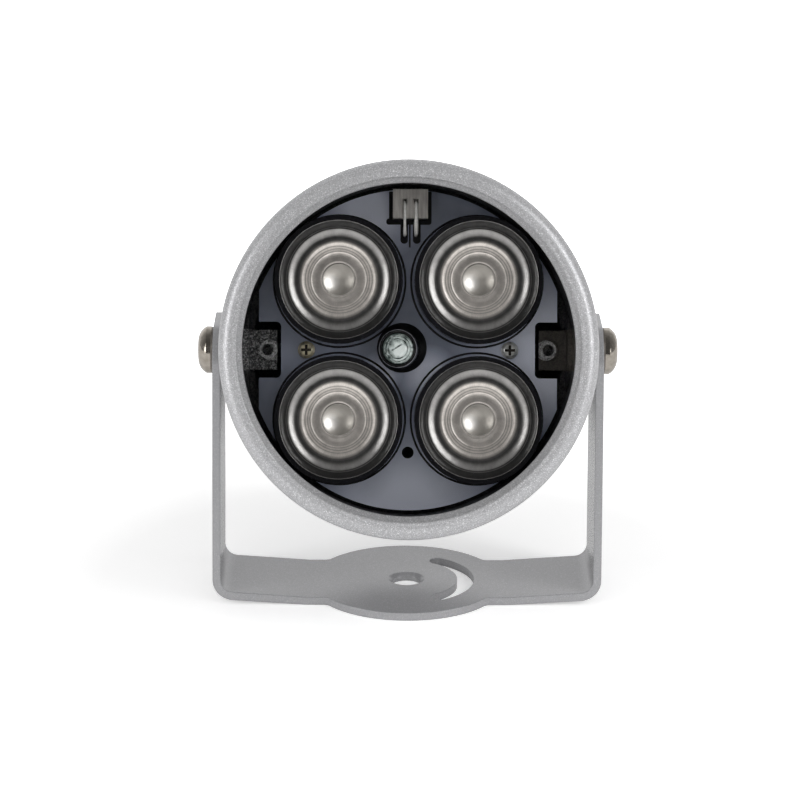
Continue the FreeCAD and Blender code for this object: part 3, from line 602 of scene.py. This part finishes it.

# The rings from the bowl outwards: radius and height in millimetres, and tone, where the tones
# paint the reflection of the reflector seen through the lens
LENS_TOP = (
    (3.56, -1.93, 0.14),
    (3.76, -1.90, 0.89),
    (3.98, -1.82, 0.7),
    (4.20, -1.84, 0.58),
    (4.80, -1.96, 0.56),
    (5.30, -1.96, 0.66),
    (5.74, -1.88, 0.70),
    (5.88, -1.83, 0.95),
    (6.02, -1.78, 0.95),
    (6.12, -1.76, 0.46),
    (6.30, -1.75, 0.80),
    (6.52, -1.70, 0.90),
    (6.66, -1.68, 0.43),
    (6.85, -1.66, 0.85),
    (7.10, -1.59, 0.93),
    (7.24, -1.57, 0.46),
    (7.45, -1.54, 0.88),
    (7.85, -1.38, 0.97),
    (8.15, -1.28, 0.62),
    (8.60, -1.27, 0.15),
    (9.10, -1.30, 0.08),
    (9.42, -1.30, 0.13),
    (9.75, -1.19, 0.27),
    (10.20, -0.96, 0.42),
    (10.60, -0.74, 0.46),
    (10.90, -0.61, 0.37),
    (11.06, -0.58, 0.12),
    (11.20, -0.60, 0.05),
    (11.34, -0.58, 0.22),
    (11.46, -0.58, 0.05),
    (12.70, -0.30, 0.04),
    (12.84, -0.02, 0.33),
)


def polar_parts(shader):
    """The polar coordinates of a turned piece, the turn in them and the radius."""
    polar = shader.add("ShaderNodeUVMap", uv_map="polar").outputs["UV"]
    parts = shader.add("ShaderNodeSeparateXYZ", {"Vector": polar})
    return polar, parts.outputs["X"], parts.outputs["Y"]


def lens_top():
    """The reflector seen through the clear lens, painted on as rings, each in its own tone: a
    painted reflection.
    """
    shader = Shader("lens_top", (0.4, 0.4, 0.4), 0.85, 0.34)
    polar, _, radial = polar_parts(shader)
    reach = shader.math("MULTIPLY", radial, UV_REACH / (LENS_REACH * MM))
    stops = []
    for radius, _, tone in LENS_TOP:
        cream = 0.87 if radius < WARM_RADIUS else 0.95
        stops.append((radius / LENS_REACH, (tone, tone * (1 + cream) / 2, tone * cream)))
    # Painted reflection: the ring tones stand in for what the clear lens shows of the reflector.
    rings = shader.ramp(reach, stops)
    streaked = shader.add("ShaderNodeMapping", {"Vector": polar, "Scale": (190.0, 7.0, 1.0)})
    streak = shader.noise(1.0, 3.0, streaked.outputs["Vector"], 0.6)
    cloud = shader.noise(1.6 * MM, 3.0)
    uneven = shader.math("ADD", shader.math("MULTIPLY", streak, 0.5), cloud)
    tone = shader.ramp(uneven, [(0.50, 0.72), (1.0, 1.0)])
    shader.use("Base Color", shader.blend("MULTIPLY", rings, tone))
    shader.bump(streak, 0.006 * MM)
    shader.surface.inputs["Coat Weight"].default_value = 0.15
    shader.surface.inputs["Coat Roughness"].default_value = 0.12
    return shader.material


def lens_side():
    """The smoky clear plastic of the lens's flange and cone."""
    shader = Shader("lens_side", (0.05, 0.05, 0.05), 0.2, 0.2)
    smoke = shader.noise(2.0 * MM, 2.0)
    shader.use("Base Color", shader.ramp(smoke, [(0.3, 0.035), (0.7, 0.07)]))
    return shader.material


def lens_core():
    """The bowl over the emitter, with a painted highlight, a soft bright spot, to its lower left.
    """
    shader = Shader("lens_core", (0.5, 0.48, 0.44), 0.8, 0.40)
    _, turn, radial = polar_parts(shader)
    angle = shader.math("MULTIPLY", turn, 2 * math.pi)
    reach = shader.math("MULTIPLY", radial, UV_REACH)
    across = shader.math("MULTIPLY", reach, shader.math("COSINE", angle))
    up = shader.math("MULTIPLY", reach, shader.math("SINE", angle))
    # Painted highlight: the base colour brightens towards a point to the lower left of the middle.
    glow = shader.near(across, up, (-1.8 * MM, -0.6 * MM), 3.4 * MM)
    tones = [(0.0, (0.36, 0.34, 0.31)), (0.35, (0.52, 0.49, 0.45)), (0.8, (0.95, 0.93, 0.89))]
    shader.use("Base Color", shader.ramp(glow, tones))
    shader.bump(shader.noise(0.9 * MM, 2.0), 0.03 * MM)
    return shader.material


LENS_FINISHES = (lens_core(), lens_top(), lens_side())
CORE, TOP, SIDE = range(3)


def lens_profile():
    """From the bowl in the middle out over the rings, and round the flange."""
    bowl, sink, floor = 3.55, 1.35, -3.25
    rim, flange_back = 12.95, -2.10
    cone_top, cone_foot, cone_end = 11.00, 5.00, -12.70
    pocket, pocket_roof = 3.60, -8.10
    steps = 10
    points = []
    for step in range(steps + 1):
        share = step / steps
        points.append((bowl * share, floor + sink * share**2, CORE))
    points += [(radius, height, TOP) for radius, height, _ in LENS_TOP]
    points += [
        (rim - 0.03, 0.0, SIDE),
        (rim, -0.10, SIDE),
        (rim, flange_back, SIDE),
        (cone_top, flange_back, SIDE),
        (cone_foot, cone_end, SIDE),
        (pocket, cone_end, SIDE),
        (pocket, pocket_roof, SIDE),
        (0.0, pocket_roof, SIDE),
    ]
    return points


def make_lenses():
    """A clear lens in each holder, in place of the plain one."""
    for corner in CORNERS:
        low, high = node_in_lamp(f"lens_{corner}")
        at = Vector(((low.x + high.x) / 2, (low.y + high.y) / 2, high.z))
        seat = Matrix.Translation(at)
        piece = turned(f"lens_optic_{corner}", lens_profile(), LENS_FINISHES, seat)
        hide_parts(f"lens_{corner}")


make_lenses()


# Light sensor


def cap_finish():
    """The sensor's clear cap, pale green and milky inside, with painted light that brightens it
    towards the left.
    """
    shader = Shader("sensor_cap", (0.70, 0.78, 0.75), 0.0, 0.16)
    across, up, _ = shader.lamp_parts()
    milk = shader.noise(1.1 * MM, 4.0)
    # Painted light: the colour brightens towards a point left of the cap's middle.
    lit = shader.near(across, up, (-1.7 * MM, -0.1 * MM), 4.4 * MM)
    milk_and_painted_light = shader.math("ADD", milk, shader.math("MULTIPLY", shader.math("SUBTRACT", lit, 0.5), 0.8))
    tones = [(0.30, (0.10, 0.13, 0.12)), (0.50, (0.60, 0.68, 0.65)), (0.68, (0.90, 0.97, 0.94))]
    shader.use("Base Color", shader.ramp(milk_and_painted_light, tones))
    shader.surface.inputs["Coat Weight"].default_value = 0.6
    shader.surface.inputs["Coat Roughness"].default_value = 0.05
    shader.bump(milk, 0.03 * MM)
    return shader.material


def groove_finish():
    """The darker lines moulded in the cap."""
    shader = Shader("cap_groove", (0.12, 0.14, 0.13), 0.0, 0.25)
    tone = shader.noise(0.9 * MM, 2.0)
    tones = [(0.40, (0.03, 0.04, 0.037)), (0.62, (0.42, 0.48, 0.46))]
    shader.use("Base Color", shader.ramp(tone, tones))
    return shader.material


def sleeve_finish(name="sleeve_black", grey=0.006):
    """Glossy tube, black unless a lighter grey is given, as for the painted highlight on its top
    edge.
    """
    shader = Shader(name, (grey, grey, grey * 1.1), 0.0, 0.16)
    shader.use("Roughness", shader.ramp(shader.noise(0.9 * MM, 2.0), [(0.3, 0.12), (0.7, 0.24)]))
    shader.bump(shader.noise(0.8 * MM, 2.0), 0.015 * MM)
    return shader.material


SENSOR_LEAN = math.radians(7.0)
SENSOR_FOOT = (-1.5 * MM, 0.3 * MM)
SLEEVE_RADIUS = 4.25
SLEEVE_BORE = 3.50
CAP_RADIUS = 3.40
GROOVE_FLOOR = 6.96
SLOT_HALF_LENGTH = 1.35
SLOT_HALF_WIDTH = 0.17
SLOT_TURN = math.radians(32.0)
SLOT_AT = (-0.1 * MM, 0.3 * MM, 7.12 * MM)


def sensor_seat():
    """The leaning sensor's own axis in the lamp's frame: its foot and its turn."""
    lift = SLEEVE_RADIUS * MM * math.sin(SENSOR_LEAN)
    foot = Vector((*SENSOR_FOOT, BOARD_FRONT + lift))
    return Matrix.Translation(foot) @ Matrix.Rotation(-SENSOR_LEAN, 4, "Y")


def slot_outline():
    """The moulded slot's corners, turned about its middle, in millimetres."""
    cosine, sine = math.cos(SLOT_TURN), math.sin(SLOT_TURN)
    outline = []
    for along, beside in ((-1, -1), (1, -1), (1, 1), (-1, 1)):
        x, y = along * SLOT_HALF_LENGTH, beside * SLOT_HALF_WIDTH
        outline.append((x * cosine - y * sine, x * sine + y * cosine))
    return outline


def make_sensor():
    """The cap with its moulded rings and slot, and the black sleeve round it, whose top edge
    carries a painted highlight.
    """
    seat = sensor_seat()
    sleeve = turned(
        "sensor_sleeve_tube",
        [
            (SLEEVE_BORE, 0.0, 0),
            (SLEEVE_RADIUS, 0.0, 0),
            (SLEEVE_RADIUS, 6.35, 0),
            (4.20, 6.50, 1),
            (4.08, 6.58, 0),
            (3.90, 6.60, 0),
            (3.70, 6.60, 0),
            (3.56, 6.54, 0),
            (SLEEVE_BORE, 6.40, 0),
            (SLEEVE_BORE, 0.0, 0),
        ],
        # The second finish is a painted highlight in light grey on the sleeve's top edge.
        [sleeve_finish(), sleeve_finish("sleeve_edge_painted_highlight", 0.35)],
        seat,
    )
    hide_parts("sensor_sleeve")
    cap = turned(
        "sensor_cap",
        [
            (0.0, 7.22, 0),
            (1.2, 7.20, 0),
            (2.00, 7.10, 0),
            (2.06, GROOVE_FLOOR, 1),
            (2.24, GROOVE_FLOOR, 1),
            (2.30, 7.12, 0),
            (2.66, 7.10, 0),
            (2.72, GROOVE_FLOOR, 1),
            (2.86, GROOVE_FLOOR, 1),
            (2.92, 7.06, 0),
            (3.22, 6.95, 0),
            (3.36, 6.75, 0),
            (CAP_RADIUS, 6.50, 0),
            (CAP_RADIUS, 0.0, 0),
            (0.0, 0.0, 0),
        ],
        [cap_finish(), groove_finish()],
        seat,
    )
    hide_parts("light_sensor")
    top = seat @ Matrix.Translation(SLOT_AT)
    flat_shape("sensor_cap_slot", slot_outline(), groove_finish(), 0.12, top)


# Board print

ON_BOARD = Matrix.Translation((0, 0, BOARD_FRONT))
RING_INSIDE = 14.35
RING_OUTSIDE = 14.80
SENSOR_DISC = 5.5
SENSOR_DISC_AT = (-1.36 * MM, 0.5 * MM)


def flat_ring(name, inner, outer, at, material, height=0.03):
    """A thin printed ring on the board."""
    profile = [(inner, 0, 0), (inner, height, 0), (outer, height, 0), (outer, 0, 0)]
    piece = turned(name, profile, [material], Matrix.Translation(at))


def rounded(left, bottom, right, top, corner, steps=6):
    """The outline of a rectangle with rounded corners, in millimetres."""
    outline = []
    centres = (
        (right - corner, top - corner, 0),
        (left + corner, top - corner, 90),
        (left + corner, bottom + corner, 180),
        (right - corner, bottom + corner, 270),
    )
    for x, y, start in centres:
        for step in range(steps + 1):
            angle = math.radians(start + 90 * step / steps)
            outline.append((x + corner * math.cos(angle), y + corner * math.sin(angle)))
    return outline


def flat_shape(name, outline, material, height=0.03, seat=ON_BOARD):
    """A thin shape on its seat, from points across and up in millimetres."""
    form = bmesh.new()
    face = form.faces.new([form.verts.new((x * MM, y * MM, 0)) for x, y in outline])
    grown = bmesh.ops.extrude_face_region(form, geom=[face])
    moved = [v for v in grown["geom"] if isinstance(v, bmesh.types.BMVert)]
    bmesh.ops.translate(form, verts=moved, vec=(0, 0, height * MM))
    bmesh.ops.recalc_face_normals(form, faces=form.faces)
    form.transform(LAMP @ seat)
    piece = add_object(name, form, [material])


def make_board_print():
    """The black printed rings round the emitters and the disc under the sensor."""
    ink = FINISH["print"]
    for corner in CORNERS:
        low, high = node_in_lamp(f"led_emitter_{corner}")
        at = Vector(((low.x + high.x) / 2, (low.y + high.y) / 2, BOARD_FRONT))
        flat_ring(f"print_ring_{corner}", RING_INSIDE, RING_OUTSIDE, at, ink)
    at = Vector((*SENSOR_DISC_AT, BOARD_FRONT))
    flat_ring("print_sensor_disc", 0.2, SENSOR_DISC, at, ink, 0.04)


def make_header_print():
    """The black gaps beside the header, the bar under it and its two pads.

    Each shape has its box, its corners' radius and its height, where the
    overlapping ones differ a little in height.
    """
    low, high = node_in_lamp("power_header")
    left, right, foot = low.x / MM, high.x / MM, low.y / MM
    middle = (left + right) / 2
    gap, lap = 0.85, 0.1
    gap_foot, gap_top = foot - 0.4, foot + 6.2
    pad_foot, pad_top = foot - 5.35, foot - 0.5
    shapes = {
        "gap_left": ((left - gap, gap_foot, left + lap, gap_top), 0.15, 0.03),
        "gap_right": ((right - lap, gap_foot, right + gap, gap_top), 0.15, 0.03),
        "bar": ((left - 1.45, foot - 1.15, right + gap, foot + 0.2), 0.55, 0.035),
        "pad_left": ((middle - 2.15, pad_foot, middle - 0.50, pad_top), 0.8, 0.04),
        "pad_right": ((middle + 0.60, pad_foot, middle + 2.30, pad_top), 0.8, 0.04),
        "line": ((middle - 0.28, foot - 6.2, middle + 0.10, pad_top), 0.15, 0.045),
    }
    for name, (box, corner, height) in shapes.items():
        flat_shape(f"print_{name}", rounded(*box, corner), FINISH["print"], height)


make_sensor()
make_board_print()
make_header_print()


# Header pins


def wire(name, across, path, radii, material, segments=16):
    """A round wire along (up, forward) points, with a radius at each, in millimetres."""
    form = bmesh.new()
    rings = []
    for number, (up, forward) in enumerate(path):
        before, after = path[max(number - 1, 0)], path[min(number + 1, len(path) - 1)]
        along = Vector((0, after[0] - before[0], after[1] - before[1])).normalized()
        side, front = Vector((1, 0, 0)), Vector((0, -along.z, along.y))
        middle = Vector((across, up, forward))
        ring = []
        for step in range(segments):
            angle = 2 * math.pi * step / segments
            reach = radii[number] * (side * math.cos(angle) + front * math.sin(angle))
            ring.append(form.verts.new((middle + reach) * MM))
        rings.append(ring)
    for first, second in zip(rings, rings[1:]):
        for step in range(segments):
            after = (step + 1) % segments
            face = form.faces.new((first[step], first[after], second[after], second[step]))
            face.smooth = True
    form.faces.new(rings[0])
    form.faces.new(rings[-1])
    bmesh.ops.recalc_face_normals(form, faces=form.faces)
    form.transform(LAMP)
    return add_object(name, form, [material])


# The pins' bend, as points up and forward, with a radius at each, in millimetres
PIN_PATH = (
    (32.55, 10.4),
    (32.35, 11.1),
    (31.75, 11.62),
    (30.9, 11.74),
    (29.0, 11.74),
    (27.4, 11.72),
    (26.4, 11.68),
    (25.7, 11.50),
    (25.35, 11.0),
    (25.30, 9.5),
    (25.28, 2.9),
)
PIN_RADII = {
    "left": (0.28, 0.28, 0.30, 0.30, 0.30, 0.32, 0.38, 0.42, 0.40, 0.34, 0.30),
    "right": (0.28, 0.28, 0.30, 0.32, 0.40, 0.50, 0.48, 0.44, 0.40, 0.34, 0.30),
}


def make_header_pins():
    """The two tinned pins, bent down the front of the header to their pads."""
    for side, radii in PIN_RADII.items():
        low, high = node_in_lamp(f"header_pin_{side}")
        across = (low.x + high.x) / 2 / MM
        piece = wire(f"bent_pin_{side}", across, PIN_PATH, radii, FINISH["pin"])
        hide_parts(f"header_pin_{side}")


make_header_pins()


# Studio

ROOM_LIGHT = 1.02
ROOM_TONES = [(0.5, 0.37), (0.8, 0.81), (0.93, 1.0)]
GLOSS_TONES = [(0.10, 1.0), (0.24, 0.45), (0.48, 0.26), (0.70, 0.15), (1.0, 0.12)]
FLOOR_DROP = 0.02 * MM
GLOW_START = 0.07
GLOW_RISE = 6.0
GLOW_NEAR = 0.18
GLOW_LEAST = 0.25


def make_floor():
    """A pale plain floor, which glows to white away from the object.

    The glow that grows with the distance from the base hole is for what the
    camera sees, directly or through something clear. Reflections show the
    least glow only, and the light that falls on the object none.
    """
    bpy.ops.mesh.primitive_plane_add(size=6, location=(0, 0, -FLOOR_DROP))
    floor = bpy.context.object
    floor.name = "floor"
    shader = Shader("floor_white", (0.86, 0.86, 0.86), 0.0, 0.9)
    paths = shader.add("ShaderNodeLightPath").outputs
    distance = shader.add("ShaderNodeVectorMath", {0: shader.place()}, operation="LENGTH")
    away = distance.outputs["Value"]
    far = shader.math("MULTIPLY", shader.math("SUBTRACT", away, GLOW_START), GLOW_RISE)
    far = shader.math("MINIMUM", shader.math("MAXIMUM", far, 0.0), 1.0)
    glow = shader.add("ShaderNodeEmission", {"Color": (1, 1, 1, 1)})
    direct = shader.math("MAXIMUM", paths["Is Camera Ray"], paths["Is Transmission Ray"])
    growing = shader.math("MULTIPLY", shader.math("ADD", far, GLOW_NEAR), direct)
    bright = shader.math("ADD", growing, GLOW_LEAST)
    shader.tree.links.new(bright, glow.inputs["Strength"])
    shown = shader.math("MAXIMUM", direct, paths["Is Glossy Ray"])
    plain = shader.surface.outputs[0]
    lit = shader.add("ShaderNodeAddShader", {0: plain, 1: glow.outputs[0]})
    mixed = shader.add("ShaderNodeMixShader", {0: shown, 1: plain, 2: lit.outputs[0]})
    output = shader.tree.nodes["Material Output"]
    shader.tree.links.new(mixed.outputs[0], output.inputs["Surface"])
    floor.data.materials.append(shader.material)


def make_world():
    """White behind the object, soft light round it, and a dark room in front.

    Directions run from 0, straight behind, to 1, just below the way the lamp
    faces. The soft light is a little stronger from the front, and what the
    gloss shows is white behind, grey at the sides and dark in front.
    """
    world = bpy.data.worlds.new("studio")
    world.use_nodes = True
    bpy.context.scene.world = world
    tree = world.node_tree
    nodes, links = tree.nodes, tree.links
    way = nodes.new("ShaderNodeTexCoord")
    facing = nodes.new("ShaderNodeVectorMath")
    facing.operation = "DOT_PRODUCT"
    links.new(way.outputs["Generated"], facing.inputs[0])
    low = math.radians(6.0)
    facing.inputs[1].default_value = (0.06, -math.cos(low), math.sin(low))
    span = nodes.new("ShaderNodeMath")
    span.operation = "MULTIPLY_ADD"
    links.new(facing.outputs["Value"], span.inputs[0])
    span.inputs[1].default_value = 0.5
    span.inputs[2].default_value = 0.5

    def by_direction(background, tones):
        """Sets a background's brightness from the direction."""
        fall = nodes.new("ShaderNodeValToRGB")
        links.new(span.outputs["Value"], fall.inputs["Fac"])
        set_stops(fall.color_ramp, tones)
        links.new(fall.outputs["Color"], background.inputs["Color"])

    room = nodes["Background"]
    room.inputs["Strength"].default_value = ROOM_LIGHT
    by_direction(room, ROOM_TONES)
    gloss = nodes.new("ShaderNodeBackground")
    by_direction(gloss, GLOSS_TONES)
    white = nodes.new("ShaderNodeBackground")
    white.inputs["Color"].default_value = (1, 1, 1, 1)
    paths = nodes.new("ShaderNodeLightPath")
    seen = nodes.new("ShaderNodeMath")
    seen.operation = "MAXIMUM"
    links.new(paths.outputs["Is Glossy Ray"], seen.inputs[0])
    links.new(paths.outputs["Is Transmission Ray"], seen.inputs[1])
    reflected = nodes.new("ShaderNodeMixShader")
    links.new(seen.outputs["Value"], reflected.inputs[0])
    links.new(room.outputs[0], reflected.inputs[1])
    links.new(gloss.outputs[0], reflected.inputs[2])
    direct = nodes.new("ShaderNodeMixShader")
    links.new(paths.outputs["Is Camera Ray"], direct.inputs[0])
    links.new(reflected.outputs[0], direct.inputs[1])
    links.new(white.outputs[0], direct.inputs[2])
    links.new(direct.outputs[0], nodes["World Output"].inputs["Surface"])


def add_softbox(name, place, size, power):
    """A soft lamp that faces the middle of the lamp body."""
    data = bpy.data.lights.new(name, "AREA")
    data.shape = "RECTANGLE"
    data.size, data.size_y = size
    data.energy = power
    lamp = bpy.data.objects.new(name, data)
    bpy.context.scene.collection.objects.link(lamp)
    lamp.location = place
    lamp.rotation_euler = (PIVOT - Vector(place)).to_track_quat("-Z", "Y").to_euler()


def make_lights():
    """A soft lamp at each side, which the bezel's bright arcs reflect."""
    add_softbox("softbox_left", (-0.92, -0.52, 0.36), (0.34, 0.70), 3.4)
    add_softbox("softbox_right", (0.86, -0.56, 0.56), (0.36, 0.95), 5.0)


def make_camera():
    """The photograph's camera: long lens, level with the lamp's own axis."""
    distance = 0.690
    elevation = math.radians(16.8)
    azimuth = math.radians(-0.55)
    lens = 139.1
    frame_pixels = 800
    focal_pixels = lens / 36 * frame_pixels
    bezel_pixel = (408.7, 349.7)
    roll = math.radians(0.3)
    place = PIVOT + distance * Vector(
        (
            math.sin(azimuth) * math.cos(elevation),
            -math.cos(azimuth) * math.cos(elevation),
            math.sin(elevation),
        )
    )
    bezel = LAMP @ Vector((0, 0, FRONT_PLANE))
    depth = (bezel - place).length
    forward = (bezel - place).normalized()
    right = forward.cross(Vector((0, 0, 1))).normalized()
    up = right.cross(forward)
    across = (bezel_pixel[0] - frame_pixels / 2) / focal_pixels * depth
    down = (bezel_pixel[1] - frame_pixels / 2) / focal_pixels * depth
    aim = bezel - right * across + up * down
    data = bpy.data.cameras.new("camera")
    data.lens = lens
    data.sensor_width = 36
    data.clip_start = 0.01
    camera = bpy.data.objects.new("camera", data)
    bpy.context.scene.collection.objects.link(camera)
    turn = (aim - place).to_track_quat("-Z", "Y").to_matrix().to_4x4()
    camera.matrix_world = Matrix.Translation(place) @ turn @ Matrix.Rotation(roll, 4, "Z")
    bpy.context.scene.camera = camera


make_floor()
make_world()
make_lights()
make_camera()
bpy.context.scene.view_settings.view_transform = "Standard"
